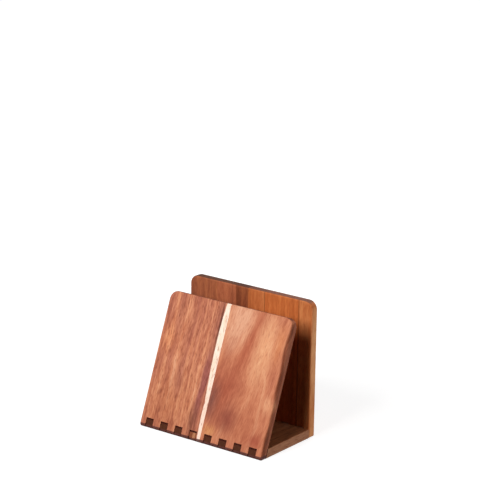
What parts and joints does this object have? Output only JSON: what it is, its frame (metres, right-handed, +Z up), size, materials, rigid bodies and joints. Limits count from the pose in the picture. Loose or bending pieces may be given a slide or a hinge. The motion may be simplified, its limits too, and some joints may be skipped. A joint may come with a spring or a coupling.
{
  "type": "napkin holder",
  "caption": "Open-sided wooden napkin holder: an upright back panel and a leaning front panel, finger-jointed to a flat base, hold a stack of folded napkins on edge.",
  "frame": {"origin": "on the ground, under the middle of the whole object's box", "axes": "+Z up, +X across the width to the right as seen from the front, the leaning front panel faces -Y"},
  "size_m": [0.165, 0.097, 0.153],
  "materials": {
    "front_stave_1_acacia": "oiled satin acacia, reddish brown heartwood with a pale sapwood edge",
    "front_stave_2_acacia": "oiled satin acacia, salmon heartwood with wavy figure",
    "base_stave_1_acacia": "oiled satin acacia, grain front to back, dark end grain on the fingers",
    "base_stave_2_acacia": "oiled satin acacia, grain front to back, dark end grain on the fingers",
    "base_stave_3_acacia": "oiled satin acacia, grain front to back, dark end grain on the fingers",
    "base_stave_4_acacia": "oiled satin acacia, grain front to back, dark end grain on the fingers",
    "base_stave_5_acacia": "oiled satin acacia, grain front to back, dark end grain on the fingers",
    "back_stave_1_acacia": "oiled satin acacia, upright grain",
    "back_stave_2_acacia": "oiled satin acacia, upright grain",
    "back_stave_3_acacia": "oiled satin acacia, upright grain",
    "back_stave_4_acacia": "oiled satin acacia, upright grain",
    "back_stave_5_acacia": "oiled satin acacia, upright grain",
    "back_stave_6_acacia": "oiled satin acacia, upright grain"
  },
  "bodies": {
    "root": {"front_stave_1": "front_stave_1_acacia", "front_stave_2": "front_stave_2_acacia", "base_stave_1": "base_stave_1_acacia", "base_stave_2": "base_stave_2_acacia", "base_stave_3": "base_stave_3_acacia", "base_stave_4": "base_stave_4_acacia", "base_stave_5": "base_stave_5_acacia", "back_stave_1": "back_stave_1_acacia", "back_stave_2": "back_stave_2_acacia", "back_stave_3": "back_stave_3_acacia", "back_stave_4": "back_stave_4_acacia", "back_stave_5": "back_stave_5_acacia", "back_stave_6": "back_stave_6_acacia"}
  },
  "joints": []
}
